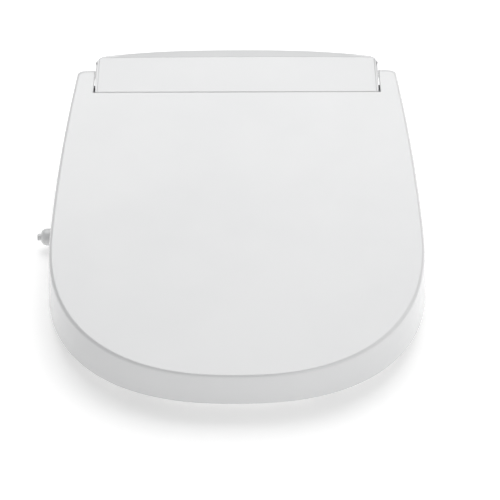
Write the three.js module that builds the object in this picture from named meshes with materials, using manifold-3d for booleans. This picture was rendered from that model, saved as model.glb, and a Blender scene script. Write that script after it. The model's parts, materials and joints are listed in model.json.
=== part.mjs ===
// Electric bidet seat: a quick-release base plate, a rear housing with its water and air units,
// a heated seat ring and a lid on one hinge line. Millimetres, +Z up, the sitter faces -Y.
// The origin is the middle of the base plate's underside, on the line of its two bolt slots,
// and Z = 0 is the rim that the base plate and the seat's four buffers rest on.

import Module from 'manifold-3d';
import * as THREE from 'three';
import { mergeVertices } from 'three/addons/utils/BufferGeometryUtils.js';

const wasm = await Module();
wasm.setup();

// ---- Driving dimensions -------------------------------------------------------------------

const GAP = 0.3;
const HINGE_Z = 83;
const PIN_RADIUS = 4;
const PIN_BORE = 4.5;

// Plan of the lid's rim: a superellipse front, and sides that draw in towards the rear.
const LID = { half: 195, front: 193, power: 2.4, centreY: -240, draw: 8.4, drawSpan: 209 };
const LID_SLOPE = 0.115;
const LID_REAR_Z = 98;
const LID_REAR_Y = -28;
const LID_WALL = 3;
const LID_EDGE = [
  { inset: 0, drop: null },
  { inset: 4, drop: 5 },
  { inset: 5, drop: 1.8 },
  { inset: 8, drop: 0 },
];
const LID_SKIRT_Z = 17;
const LID_STEP_Z = 30;

// Each rear ear: a lobe about the hinge and, behind it, the ear's round end.
const EAR_INNER = 159.5;
const EAR_CORNER = 12;
const EAR_LOBE = 16.5;
const EAR_END = { y: 6.2, z: 90.1, radius: 12, from: -0.6 };
// Side view of the lid's rear lip. It leans forward, to swing clear of the housing's front edge.
const LIP = { top: 95, low: 86, lean: 2.3 };

// Plan of the seat ring and of its hole.
const SEAT = { half: 180.5, front: 180, power: 2.4, centreY: -240, draw: 8.4, drawSpan: 209 };
const SEAT_REAR_Y = -48;
const SEAT_CORNER = 20;
const SEAT_HOLE = { half: 105, front: 118, power: 2.2, centreY: -248 };
const SEAT_WALL = 3;
const SEAT_SLOPE = 0.0935;
const SEAT_FRONT_Z = 45;
const SEAT_UNDER_Z = 14;
const ARM = { inner: 163.5, outer: 172.5, radius: 9 };
const SEAT_BUFFERS = [[85, -385], [150, -250]];

// Housing: the tall rear block, the low shoulder in front of it and the pod on the left.
const BODY_HALF = 157.5;
const BODY_FRONT_Y = -26;
const BODY_CORNER = { x: 147.5, y: 30, radius: 10 };
const BODY_REAR_Y = 52;
const STRIP_FRONT_Z = 96.4;
const CREST_Y = 31.5;
const CREST_Z = 106;
const TRIM = { half: 155, lip: 1.3, thick: 2 };
const SHOULDER_HALF = 168;
const SHOULDER_Z = 46;
const DECK = { sideY: -70, frontY: -120, frontHalf: 105 };
const PARTING_Z = 36;
const FLOOR = { under: 9.5, top: 12 };
const SHELL = 2.5;
const SKIRT_Z = 2.5;
const POD = { outer: 197.5, inner: 150, rearY: -75, frontY: -192, low: 3, split: 14, top: 24 };

// Base plate and the rails that hold the housing down on it.
const PLATE = { half: 100.5, flange: 105.5, depth: 38, step: 4.9, top: 8.6 };
const BOLT_X = 77.5;
const BOLT_SLOT = { radius: 5.5, reach: 11 };

// Nozzles: the two tubes slide out of the deck's front face, pointing slightly down.
const NOZZLE_X = 11;
const NOZZLE_TIP = { y: -114, z: 22 };
const NOZZLE_TILT = THREE.MathUtils.degToRad(10);
const NOZZLE_RADIUS = 5;
const NOZZLE_LENGTH = 126;
const TIP_LENGTH = 14;
const PINION = { y: 78, z: -12.2, radius: 4.6 };

// Dryer: a blower in the tall block and a duct to the deck's front face.
const BLOWER = { y: 12, z: 42, radius: 27, x0: 70, x1: 98 };
const DUCT = { z0: 15, z1: 34, rearY: -24.5, frontY: -117 };
const FLAP_Y = -121.6;

// Water inlet: strainer cap on the pod's outer side, threaded spigot at its rear.
const CAP = { y: -178, z: 14, radius: 9.2, neck: 6.2, nub: 3.8, tip: 214 };
const SPIGOT = { x: -181, z: 13, radius: 10.3, rearY: -56 };

const CASE_SCREWS = [[146, 22], [-146, 22], [120, -80], [-120, -80]];

// ---- Materials ----------------------------------------------------------------------------

function material(color, roughness, metalness = 0) {
  return new THREE.MeshStandardMaterial({ color, roughness, metalness });
}

const whiteShell = material(0xf2f3f4, 0.22);
const seatPlastic = material(0xf4f4f2, 0.28);
const greyPlastic = material(0xc9ccce, 0.5);
const darkPlastic = material(0x3a3d40, 0.55);
const paleRubber = material(0xb9bcbd, 0.85);
const boardGreen = material(0x2f6b45, 0.6);
const steel = material(0xb4b8bb, 0.35, 1);
const foil = material(0xc8a070, 0.4, 0.8);
const hosePlastic = material(0xdfe3e4, 0.45);

// ---- Solids -------------------------------------------------------------------------------

// A closed three.js geometry as a manifold solid, without the zero-width triangles of a pole.
function solid(geometry) {
  const bare = geometry.clone();
  bare.deleteAttribute('normal');
  bare.deleteAttribute('uv');
  const merged = mergeVertices(bare, 1e-4);
  const index = merged.index.array;
  const triangles = [];
  for (let i = 0; i < index.length; i += 3) {
    const [a, b, c] = [index[i], index[i + 1], index[i + 2]];
    if (a !== b && b !== c && c !== a) {
      triangles.push(a, b, c);
    }
  }
  return new wasm.Manifold(new wasm.Mesh({
    numProp: 3,
    vertProperties: new Float32Array(merged.attributes.position.array),
    triVerts: new Uint32Array(triangles),
  }));
}

function join(first, ...others) {
  return others.reduce((whole, next) => whole.add(next), first);
}

function cut(first, ...others) {
  return others.reduce((whole, next) => whole.subtract(next), first);
}

function box(xa, xb, ya, yb, za, zb) {
  const geometry = new THREE.BoxGeometry(Math.abs(xb - xa), Math.abs(yb - ya), Math.abs(zb - za));
  geometry.translate((xa + xb) / 2, (ya + yb) / 2, (za + zb) / 2);
  return solid(geometry);
}

// A round bar between two points.
function rod(from, to, radius, sides = 14) {
  const start = new THREE.Vector3(...from);
  const end = new THREE.Vector3(...to);
  const run = end.clone().sub(start);
  const geometry = new THREE.CylinderGeometry(radius, radius, run.length(), sides);
  const turn = new THREE.Quaternion();
  turn.setFromUnitVectors(new THREE.Vector3(0, 1, 0), run.clone().normalize());
  geometry.applyQuaternion(turn);
  const middle = start.add(end).multiplyScalar(0.5);
  geometry.translate(middle.x, middle.y, middle.z);
  return solid(geometry);
}

// An XY outline raised from z0 to z1.
function prism(points, z0, z1) {
  const shape = new THREE.Shape(points);
  const geometry = new THREE.ExtrudeGeometry(shape, { depth: z1 - z0, bevelEnabled: false });
  geometry.translate(0, 0, z0);
  return solid(geometry);
}

// A YZ profile carried along X.
function profile(points, xa, xb) {
  const shape = new THREE.Shape(points);
  const depth = Math.abs(xb - xa);
  const geometry = new THREE.ExtrudeGeometry(shape, { depth, bevelEnabled: false });
  const turn = new THREE.Matrix4().makeBasis(
    new THREE.Vector3(0, 1, 0),
    new THREE.Vector3(0, 0, 1),
    new THREE.Vector3(1, 0, 0),
  );
  geometry.applyMatrix4(turn);
  geometry.translate(Math.min(xa, xb), 0, 0);
  return solid(geometry);
}

// An outline raised in rows: row k puts each of its points where rows[k](x, y) says.
function rows(shape, placements) {
  const steps = placements.length - 1;
  const geometry = new THREE.ExtrudeGeometry(shape, { depth: steps, steps, bevelEnabled: false });
  const position = geometry.attributes.position;
  for (let i = 0; i < position.count; i += 1) {
    const place = placements[Math.round(position.getZ(i))];
    position.setXYZ(i, ...place(position.getX(i), position.getY(i)));
  }
  return solid(geometry);
}

// A round tube along a smooth curve through the given points.
function hose(points, radius, steps) {
  const section = new THREE.Shape(ring(0, 0, radius, 0, 2 * Math.PI, 10).slice(0, -1));
  const extrudePath = new THREE.CatmullRomCurve3(points.map((p) => new THREE.Vector3(...p)));
  return solid(new THREE.ExtrudeGeometry(section, { steps, extrudePath, bevelEnabled: false }));
}

// ---- Outlines -----------------------------------------------------------------------------

function point(x, y) {
  return new THREE.Vector2(x, y);
}

function ring(x, y, radius, from, to, steps) {
  const points = [];
  for (let i = 0; i <= steps; i += 1) {
    const angle = from + ((to - from) * i) / steps;
    points.push(point(x + radius * Math.cos(angle), y + radius * Math.sin(angle)));
  }
  return points;
}

function superellipse({ half, front, power, centreY }, inset, turn, steps) {
  const points = [];
  for (let i = 0; i <= steps; i += 1) {
    const angle = (turn * i) / steps;
    const c = Math.cos(angle);
    const s = Math.sin(angle);
    const x = Math.sign(c) * (half - inset) * Math.abs(c) ** (2 / power);
    const y = -Math.sign(s) * (front - inset) * Math.abs(s) ** (2 / power);
    points.push(point(x, centreY + y));
  }
  return points;
}

function sideHalf(plan, y) {
  return plan.half - plan.draw * ((y - plan.centreY) / plan.drawSpan) ** 2;
}

// The whole D: front arc, left side, two rear corners, right side.
function dOutline(plan, rearY, corner, inset = 0) {
  const front = superellipse(plan, inset, Math.PI, 26);
  const sideSteps = 5;
  const cornerY = rearY - inset - corner;
  const side = [];
  for (let i = 1; i < sideSteps; i += 1) {
    const y = plan.centreY + ((cornerY - plan.centreY) * i) / sideSteps;
    side.push(point(sideHalf(plan, y) - inset, y));
  }
  const cornerX = sideHalf(plan, cornerY) - inset - corner;
  side.push(...ring(cornerX, cornerY, corner, 0, Math.PI / 2, 3));
  const left = side.map((p) => point(-p.x, p.y));
  return [...front, ...left, ...side.reverse()];
}

function rearEdge(x) {
  return BODY_REAR_Y - 12 * (Math.abs(x) / 149) ** 2.6;
}

// Curved back of the housing, from its right corner to its left one.
function rearCurve(inset) {
  const reach = 146 - inset;
  const points = [];
  const steps = 20;
  for (let i = 0; i <= steps; i += 1) {
    const x = reach - (2 * reach * i) / steps;
    points.push(point(x, rearEdge(x) - inset));
  }
  return points;
}

function mirrored(rightSide, back) {
  const left = rightSide.map((p) => point(-p.x, p.y)).reverse();
  return [...rightSide, ...back, ...left];
}

function blockOutline(inset) {
  const { x, y, radius } = BODY_CORNER;
  const front = point(BODY_HALF - inset, BODY_FRONT_Y + inset);
  return mirrored([front, ...ring(x, y, radius - inset, 0, Math.PI / 2, 4)], rearCurve(inset));
}

function shoulderOutline(inset) {
  const half = SHOULDER_HALF - inset;
  const right = [
    point(DECK.frontHalf - inset, DECK.frontY + inset),
    point(half - 5, DECK.sideY - 5 + inset * 0.4),
    point(half, DECK.sideY + 6),
    ...ring(half - 10, 30 - inset, 10, 0, Math.PI / 2, 3),
  ];
  return mirrored(right, rearCurve(inset));
}

function podOutline(inset) {
  const corner = 12;
  const low = POD.frontY + inset + corner;
  return [
    point(-POD.inner - inset, POD.rearY - inset),
    ...ring(-POD.outer + inset + 16, POD.rearY - inset - 16, 16, Math.PI / 2, Math.PI, 4),
    ...ring(-POD.outer + inset + corner, low, corner, Math.PI, 1.5 * Math.PI, 4),
    point(-POD.inner - inset, POD.frontY + inset),
  ];
}

function lidTop(y) {
  return LID_REAR_Z + LID_SLOPE * (y + 30);
}

function seatTop(y) {
  return SEAT_FRONT_Z + SEAT_SLOPE * (y + 422);
}

function seatUnder(y) {
  const overPod = 14 * THREE.MathUtils.smoothstep(y, -232, -210);
  const overDeck = 22 * THREE.MathUtils.smoothstep(y, -186, -162);
  return SEAT_UNDER_Z + overPod + overDeck;
}

// ---- Base plate ---------------------------------------------------------------------------

function boltSlot(x, radius, z0, z1) {
  const { reach } = BOLT_SLOT;
  const rear = ring(x, reach, radius, 0, Math.PI, 6);
  const front = ring(x, -reach, radius, Math.PI, 2 * Math.PI, 6);
  return prism([...rear, ...front], z0, z1);
}

function basePlate() {
  const { half, flange, depth, step, top } = PLATE;
  const plate = join(
    box(-half, half, -depth, depth, 0, step),
    box(-flange, flange, -depth, depth, step, top),
  );
  const slots = [-BOLT_X, BOLT_X].flatMap((x) => [
    boltSlot(x, BOLT_SLOT.radius, -1, top + 1),
    boltSlot(x, BOLT_SLOT.radius + 5, step, top + 1),
  ]);
  return cut(plate, ...slots, box(-45, 45, -depth + 8, depth - 8, step, top + 1));
}

// ---- Housing ------------------------------------------------------------------------------

function stripZ(y) {
  const rise = (CREST_Z - STRIP_FRONT_Z) / (CREST_Y - BODY_FRONT_Y);
  return STRIP_FRONT_Z + rise * (y - BODY_FRONT_Y);
}

// Side view of the tall block: sloping strip, crest, and a rounded shoulder down to the back.
function blockProfile(inset) {
  return [
    point(-60, -20),
    point(60, -20),
    point(60, 92 - inset),
    point(BODY_REAR_Y - 0.6, 97.5 - inset),
    point(BODY_REAR_Y - 2.4, 101.5 - inset),
    point(BODY_REAR_Y - 5, 104 - inset),
    point(CREST_Y, CREST_Z - inset),
    point(-60, stripZ(-60) - inset),
  ];
}

function trimProfile(under, over, margin) {
  const rear = CREST_Y - 1 + margin;
  const front = BODY_FRONT_Y + TRIM.lip - margin;
  return [
    point(front, stripZ(front) - under),
    point(rear, stripZ(rear) - under),
    point(rear, stripZ(rear) + over),
    point(front, stripZ(front) + over),
  ];
}

function screwBosses() {
  return CASE_SCREWS.map(([x, y]) => rod([x, y, 13], [x, y, y > 0 ? 102 : SHOULDER_Z - 1], 4.5, 12));
}

function screwBores(radius, z0, z1) {
  return CASE_SCREWS.map(([x, y]) => rod([x, y, z0], [x, y, z1], radius, 12));
}

function housingCover() {
  const across = BODY_HALF + 10;
  const block = prism(blockOutline(0), PARTING_Z, CREST_Z + 2)
    .intersect(profile(blockProfile(0), -across, across));
  const blockHollow = prism(blockOutline(SHELL), 0, CREST_Z)
    .intersect(profile(blockProfile(2 * SHELL), -across, across));
  const shoulder = prism(shoulderOutline(0), PARTING_Z, SHOULDER_Z);
  const shoulderHollow = prism(shoulderOutline(SHELL), 0, SHOULDER_Z - SHELL);
  const shell = cut(join(block, shoulder), blockHollow, shoulderHollow);
  return cut(
    join(shell, ...screwBosses()),
    ...screwBores(1.7, 0, 32),
    profile(trimProfile(TRIM.thick + GAP, 3, GAP), -TRIM.half - GAP, TRIM.half + GAP),
    rod([-BODY_HALF - 1, 0, HINGE_Z], [-BODY_HALF + 4, 0, HINGE_Z], PIN_BORE),
    rod([BODY_HALF - 4, 0, HINGE_Z], [BODY_HALF + 1, 0, HINGE_Z], PIN_BORE),
    box(-25, 25, DECK.frontY - 1, DECK.frontY + 4, 0, 41),
  );
}

function coverTrim() {
  return profile(trimProfile(TRIM.thick, 0, 0), -TRIM.half, TRIM.half);
}

function plateRail(side) {
  return join(
    box(side * 107, side * 110, -40, 40, 2.8, FLOOR.under + 0.5),
    box(side * 101.8, side * 110, -40, 40, 2.8, 4.4),
  );
}

function housingBase() {
  const top = PARTING_Z - GAP;
  const outer = prism(shoulderOutline(0), SKIRT_Z, top);
  const well = prism(shoulderOutline(SHELL), FLOOR.top, top + 5);
  const recess = prism(shoulderOutline(SHELL), -1, FLOOR.under);
  const tray = cut(outer, well, recess, box(-112, 112, 20, 60, -1, FLOOR.under));
  const pod = cut(
    prism(podOutline(0), POD.low, POD.split),
    prism(podOutline(SHELL), POD.low + SHELL, POD.split + 1),
    prism(shoulderOutline(SHELL), -1, top),
  );
  const duct = { x0: BLOWER.x0 + 1, x1: BLOWER.x1 - 1 };
  return cut(
    join(tray, pod, plateRail(-1), plateRail(1)),
    ...screwBores(2.2, 0, FLOOR.top + 1),
    box(-25, 25, DECK.frontY - 1, DECK.frontY + 4, 12, PARTING_Z + 1),
    box(duct.x0, duct.x1, DECK.frontY - 1, DECK.frontY + 4, DUCT.z0 + 1.5, DUCT.z1 - 1),
    rod([-POD.outer - 1, CAP.y, CAP.z], [-POD.outer + 12, CAP.y, CAP.z], CAP.neck + 0.6),
    rod([SPIGOT.x, POD.rearY + 1, SPIGOT.z], [SPIGOT.x, POD.rearY - 5, SPIGOT.z], 6.4),
    box(-163, -150.5, -90, -75.8, FLOOR.top + 0.5, 23),
    box(SHOULDER_HALF - 4, SHOULDER_HALF + 1, -37.4, -22.6, 19.1, 28.9),
    rod([95, 40, 24], [95, 55, 24], 6.5),
  );
}

function podCover() {
  const shell = cut(
    prism(podOutline(0), POD.split + GAP, POD.top),
    prism(podOutline(SHELL), 0, POD.top - SHELL),
    prism(shoulderOutline(-GAP), 0, POD.top + 1),
  );
  return cut(
    shell,
    rod([-POD.outer - 1, CAP.y, CAP.z], [-POD.outer + 12, CAP.y, CAP.z], CAP.neck + 0.6),
    rod([SPIGOT.x, POD.rearY + 1, SPIGOT.z], [SPIGOT.x, POD.rearY - 5, SPIGOT.z], 6.4),
  );
}

function caseScrew([x, y]) {
  return join(
    rod([x, y, 6.6], [x, y, FLOOR.under - GAP], 3.6, 16),
    rod([x, y, 8], [x, y, 28], 1.4, 12),
  );
}

function cableGland() {
  const body = join(
    rod([95, 43, 24], [95, 53, 24], 6),
    rod([95, 50.6, 24], [95, 53, 24], 9),
  );
  return cut(body, rod([95, 42, 24], [95, 54, 24], 3.6));
}

function releaseButton() {
  return join(
    box(165.2, 172, -36.8, -23.2, 19.6, 28.4),
    box(162.6, 165.2, -39, -21, 17.6, 30.4),
    rod([118, -30, 24], [163, -30, 24], 3, 12),
  );
}

// ---- Nozzle unit, in a frame that lies along the nozzles with its origin at their tips ----

function nozzleTube() {
  const section = [
    point(0, TIP_LENGTH),
    point(NOZZLE_RADIUS, TIP_LENGTH),
    point(NOZZLE_RADIUS, NOZZLE_LENGTH),
    point(2, NOZZLE_LENGTH),
    point(2, 24),
    point(0, 24),
  ];
  return solid(new THREE.LatheGeometry(section, 14));
}

function nozzleRack() {
  const pitch = 5;
  const teeth = [];
  for (let y = 34; y < NOZZLE_LENGTH - 6; y += pitch) {
    teeth.push(point(y, -7.2), point(y + pitch / 2, -6.2));
  }
  return profile([point(34, -4.2), ...teeth, point(NOZZLE_LENGTH - 4, -4.2)], -1.6, 1.6);
}

function nozzle() {
  return join(nozzleTube(), nozzleRack());
}

function nozzleTip(sprayY) {
  const end = TIP_LENGTH - GAP;
  const section = [
    point(0, 0),
    point(3.2, 0),
    point(4.5, 0.8),
    point(NOZZLE_RADIUS, 2.6),
    point(NOZZLE_RADIUS, end),
    point(0, end),
  ];
  const tip = solid(new THREE.LatheGeometry(section, 14));
  return cut(tip, rod([0, sprayY, 3], [0, sprayY, 6], 1.1, 10));
}

function nozzleBay() {
  const block = box(-24, 24, 12, 66, -8.5, 8.5);
  const bores = [-NOZZLE_X, NOZZLE_X].flatMap((x) => [
    rod([x, 0, 0], [x, 90, 0], NOZZLE_RADIUS + 0.6),
    box(x - 2.4, x + 2.4, 0, 90, -9, 0),
  ]);
  return cut(block, ...bores);
}

function pinion() {
  const teeth = [];
  for (let i = 0; i < 10; i += 1) {
    const angle = (i * Math.PI) / 5;
    teeth.push(...ring(0, 0, PINION.radius, angle, angle + 0.2, 1));
    teeth.push(...ring(0, 0, PINION.radius - 1.1, angle + 0.36, angle + 0.5, 1));
  }
  const gear = profile(teeth.map((p) => point(p.x + PINION.y, p.y + PINION.z)), -3, 3);
  return gear;
}

function pinionShaft(side) {
  return rod([0, PINION.y, PINION.z], [side * 7.2, PINION.y, PINION.z], 1.2, 10);
}

function nozzleMotor(side) {
  return join(
    rod([side * 7.5, PINION.y, PINION.z + 1], [side * 22, PINION.y, PINION.z + 1], 9.5),
    box(side * 9, side * 20, PINION.y + 6, PINION.y + 13, PINION.z - 4, PINION.z + 6),
  );
}

function nozzleGuard() {
  return join(
    box(-26, 26, FLAP_Y - 1, FLAP_Y + 1, 28.8, 40),
    rod([-26, FLAP_Y, 40], [26, FLAP_Y, 40], 1.2, 12),
  );
}

// ---- Water unit ---------------------------------------------------------------------------

function inletBody() {
  const spigot = join(
    rod([SPIGOT.x, -110, SPIGOT.z], [SPIGOT.x, POD.rearY + 2, SPIGOT.z], 5.8),
    rod([SPIGOT.x, POD.rearY + 1, SPIGOT.z], [SPIGOT.x, SPIGOT.rearY, SPIGOT.z], SPIGOT.radius, 18),
  );
  const chamber = box(-190, -168, -168, -108, 6.5, 19.5);
  return cut(join(spigot, chamber), rod([SPIGOT.x, -140, SPIGOT.z], [SPIGOT.x, -50, SPIGOT.z], 4));
}

function strainerCap() {
  const section = [
    point(0, -POD.outer + 11),
    point(CAP.neck, -POD.outer + 11),
    point(CAP.neck, -POD.outer - 0.6),
    point(CAP.radius, -POD.outer - 0.6),
    point(CAP.radius, -CAP.tip + 10.5),
    point(CAP.radius - 1.2, -CAP.tip + 6.8),
    point(CAP.nub + 0.8, -CAP.tip + 4.2),
    point(CAP.nub, -CAP.tip + 4),
    point(CAP.nub, -CAP.tip + 0.8),
    point(CAP.nub - 0.8, -CAP.tip),
    point(0, -CAP.tip),
  ];
  const geometry = new THREE.LatheGeometry(section.reverse(), 28);
  geometry.rotateZ(-Math.PI / 2);
  geometry.translate(0, CAP.y, CAP.z);
  const slot = box(-CAP.tip - 1, -CAP.tip + 1.8, CAP.y - 5, CAP.y + 5, CAP.z - 0.6, CAP.z + 0.6);
  return cut(solid(geometry), slot);
}

function solenoidValve() {
  return join(
    box(-136, -108, -68, -42, 14, 26),
    rod([-122, -55, 25], [-122, -55, 41], 9),
    rod([-136, -55, 20], [-143, -55, 20], 4),
    rod([-108, -55, 20], [-101, -55, 20], 4),
  );
}

function waterHeater() {
  const ribs = [0, 1, 2, 3].map((i) => box(-110 + i * 15, -105 + i * 15, -18, 36, 42, 84));
  return join(
    box(-112, -52, -15, 33, 44, 82),
    ...ribs,
    rod([-92, 4, 45], [-92, 4, 36], 4),
    rod([-66, 4, 45], [-66, 4, 36], 4),
  );
}

function diverterValve() {
  return join(
    box(-58, -36, -62, -34, 14, 30),
    rod([-47, -48, 29], [-47, -48, 41], 8),
    rod([-47, -34, 22], [-47, -27, 22], 3.6),
  );
}

function inletHose() {
  const route = [[-170.5, -107, 13], [-169, -99, 14], [-157, -81.5, 17], [-151, -64, 19.5]];
  return hose([...route, [-150, -56, 20], [-144, -55, 20]], 3, 12);
}

function heaterHose() {
  const route = [[-100.2, -55, 20], [-92, -54, 20], [-86, -38, 20], [-87, -14, 21]];
  return hose([...route, [-91.6, 2, 27], [-92, 4, 35.2]], 3, 12);
}

function diverterHose() {
  const route = [[-66, 4, 35.2], [-66, 3, 28], [-61, -4, 21]];
  return hose([...route, [-49, -14, 20], [-47, -20, 21.6], [-47, -26, 22]], 3, 12);
}

// ---- Dryer --------------------------------------------------------------------------------

function blowerCase() {
  const { x0, x1, y, z, radius } = BLOWER;
  const outer = join(
    rod([x0, y, z], [x1, y, z], radius, 24),
    box(x0, x1, DUCT.rearY, y, DUCT.z0, DUCT.z1),
  );
  return cut(
    outer,
    rod([x0 + 2.5, y, z], [x1 - 2.5, y, z], radius - 2.5, 24),
    box(x0 + 2.5, x1 - 2.5, DUCT.rearY - 1, y, DUCT.z0 + 2.5, DUCT.z1 - 2.5),
    rod([x0 - 1, y, z], [x0 + 4, y, z], 13),
    rod([x1 - 4, y, z], [x1 + 1, y, z], 4),
  );
}

function impeller() {
  const { x0, x1, y, z } = BLOWER;
  const blades = [];
  for (let i = 0; i < 9; i += 1) {
    const angle = (i * Math.PI) / 4.5;
    const inner = ring(y, z, 14, angle, angle + 0.09, 1);
    const outer = ring(y, z, 21.5, angle + 0.3, angle + 0.36, 1);
    blades.push(profile([...inner, ...outer.reverse()], x0 + 6, x1 - 8));
  }
  const disc = rod([x1 - 8.5, y, z], [x1 - 6, y, z], 21.5, 20);
  const hub = rod([x1 - 14, y, z], [x1 + 0.5, y, z], 3.4, 16);
  return join(disc, hub, ...blades);
}

function blowerMotor() {
  const { x1, y, z } = BLOWER;
  return join(
    rod([x1 + 1, y, z], [x1 + 17, y, z], 14, 18),
    box(x1 + GAP, x1 + 1.2, y - 16, y + 16, z - 16, z + 16),
  ).subtract(rod([x1, y, z], [x1 + 3, y, z], 4.2, 16));
}

function dryerDuct() {
  const { x0, x1 } = BLOWER;
  return cut(
    box(x0, x1, DUCT.frontY + GAP, DUCT.rearY - GAP, DUCT.z0, DUCT.z1),
    box(x0 + 2, x1 - 2, DUCT.frontY - 1, DUCT.rearY + 1, DUCT.z0 + 2, DUCT.z1 - 2),
  );
}

function dryerFlap() {
  const { x0, x1 } = BLOWER;
  return join(
    box(x0, x1, FLAP_Y - 1, FLAP_Y + 1, DUCT.z0, DUCT.z1 + 1),
    rod([x0, FLAP_Y, DUCT.z1 + 1], [x1, FLAP_Y, DUCT.z1 + 1], 1.2, 12),
  );
}

// ---- Electronics --------------------------------------------------------------------------

function controlBoard() {
  return join(
    box(-44, 44, -20, 14, 84, 85.6),
    box(-30, -12, -8, 8, 85.6, 88.2),
    box(12, 34, -6, 6, 85.6, 90),
    box(-4, 4, -19, -14, 85.6, 92),
  );
}

function powerBoard() {
  const capacitors = [52, 62].map((x) => rod([x, -8, 73], [x, -8, 88], 4, 14));
  return join(
    box(46, 114, -18, 34, 72, 73.6),
    box(74, 102, -8, 18, 73.6, 90),
    box(50, 68, 8, 28, 73.6, 82),
    ...capacitors,
  );
}

// ---- Hinge --------------------------------------------------------------------------------

function damper(side) {
  return join(
    rod([side * 119, 0, HINGE_Z], [side * 152, 0, HINGE_Z], 8.5),
    box(side * 119, side * 124, -8.5, 8.5, HINGE_Z - 14, HINGE_Z),
  );
}

function hingePin(side) {
  return rod([side * 152.4, 0, HINGE_Z], [side * 175.8, 0, HINGE_Z], PIN_RADIUS, 18);
}

// ---- Seat ---------------------------------------------------------------------------------

function inHole(x, y) {
  const middle = { half: 143, front: 160 };
  return (x / middle.half) ** 2 + ((y - SEAT_HOLE.centreY) / middle.front) ** 2 < 1;
}

// A point of the ring drawn away from the ring's edges, both the outer one and the hole's.
function seatInset(x, y, inset) {
  const plan = inHole(x, y) ? SEAT_HOLE : SEAT;
  const way = inHole(x, y) ? 1 : -1;
  const px = x * (1 + (way * inset) / plan.half);
  const grow = 1 + (way * inset) / plan.front;
  const rearPull = way < 0 && y > plan.centreY ? 1 - inset / (SEAT_REAR_Y - plan.centreY) : grow;
  return [px, plan.centreY + (y - plan.centreY) * rearPull];
}

function seatShape() {
  const shape = new THREE.Shape(dOutline(SEAT, SEAT_REAR_Y, SEAT_CORNER));
  const hole = superellipse(SEAT_HOLE, 0, 2 * Math.PI, 32).slice(0, -1).reverse();
  shape.holes.push(new THREE.Path(hole));
  return shape;
}

function seatRows(levels) {
  return rows(seatShape(), levels.map(({ inset, z }) => (x, y) => {
    const [px, py] = seatInset(x, y, inset);
    return [px, py, z(py)];
  }));
}

function seatArm(side) {
  const bar = [point(0, 92), point(0, 74), point(-75, 56), point(-75, 75.6), point(-52, 79)];
  return join(
    profile(bar, side * ARM.inner, side * ARM.outer),
    rod([side * ARM.inner, 0, HINGE_Z], [side * ARM.outer, 0, HINGE_Z], ARM.radius, 18),
  );
}

function armBore(side) {
  return rod([side * 160, 0, HINGE_Z], [side * 176, 0, HINGE_Z], PIN_BORE);
}

function seatTopShell() {
  const skin = seatRows([
    { inset: 0, z: seatUnder },
    { inset: 0, z: (y) => seatTop(y) - 9 },
    { inset: 2.6, z: (y) => seatTop(y) - 3 },
    { inset: 9, z: seatTop },
  ]);
  const hollow = seatRows([
    { inset: SEAT_WALL, z: () => -20 },
    { inset: SEAT_WALL, z: (y) => seatTop(y) - 11 },
    { inset: 9, z: (y) => seatTop(y) - SEAT_WALL },
  ]);
  return cut(join(cut(skin, hollow), seatArm(-1), seatArm(1)), armBore(-1), armBore(1));
}

function seatBottomPlate() {
  const inset = SEAT_WALL + 2 * GAP;
  return seatRows([
    { inset, z: seatUnder },
    { inset, z: (y) => seatUnder(y) + 2.2 },
  ]);
}

function seatHeater() {
  return seatRows([
    { inset: 22, z: (y) => seatTop(y) - SEAT_WALL - 1.6 },
    { inset: 22, z: (y) => seatTop(y) - SEAT_WALL - 0.5 },
  ]);
}

function seatBuffer(x, y) {
  const top = SEAT_UNDER_Z - GAP;
  const section = [point(0, 0), point(10, 0), point(11.5, 1.5), point(10.5, top), point(0, top)];
  const geometry = new THREE.LatheGeometry(section, 14);
  geometry.rotateX(Math.PI / 2);
  geometry.translate(x, y, 0);
  return solid(geometry);
}

// ---- Lid ----------------------------------------------------------------------------------

function lidInset(x, y, inset) {
  const px = x * (1 - inset / LID.half);
  const py = y < LID.centreY ? LID.centreY + (y - LID.centreY) * (1 - inset / LID.front * 0.5) : y;
  return [px, py];
}

// The lid's outer form or, with a wall thickness, its hollow: a flared D under a sloping top.
function lidForm(rearY, corner, wall) {
  const shape = new THREE.Shape(dOutline(LID, rearY, corner));
  return rows(shape, LID_EDGE.map(({ inset, drop }) => (x, y) => {
    const [px, py] = lidInset(x, y, inset + wall * (drop === null ? 1 : 1.15));
    return [px, py, drop === null ? LID_SKIRT_Z - 0.5 - wall : lidTop(py) - drop - wall];
  }));
}

// The ear's round end, drawn in by a wall thickness, up to where it meets the sloping top.
function earEnd(wall, from, steps) {
  const { y, z, radius } = EAR_END;
  return ring(y, z, radius - wall, from, Math.PI / 2 + Math.atan(LID_SLOPE), steps);
}

// Side view of the lid: sloping top, the ear's end and lobe, and a lower edge with one step.
function lidProfile() {
  const step = [0, 1, 2, 3, 4].map((i) => {
    const y = -202 - 9 * i;
    const rise = THREE.MathUtils.smoothstep(y, -238, -202);
    return point(y, LID_SKIRT_Z + (LID_STEP_Z - LID_SKIRT_Z) * rise);
  });
  return [
    ...ring(0, HINGE_Z, EAR_LOBE, -2.0, EAR_END.from, 6),
    ...earEnd(0, EAR_END.from, 8),
    point(-460, lidTop(-460) + 0.01),
    point(-460, LID_SKIRT_Z),
    ...step.reverse(),
    point(-120, LID_STEP_Z),
  ];
}

// Everything behind the lip's face, which lies back by that much from its outer face.
function behindLip(back, lowZ) {
  const y = LID_REAR_Y - back;
  const slope = LIP.lean / (LIP.top - LIP.low);
  return profile([
    point(y, 120),
    point(y, LIP.top),
    point(y - slope * (LIP.top - lowZ), lowZ),
    point(y - 9 + back, lowZ),
    point(y - 9 + back, -10),
    point(60, -10),
    point(60, 120),
  ], -EAR_INNER, EAR_INNER);
}

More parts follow.
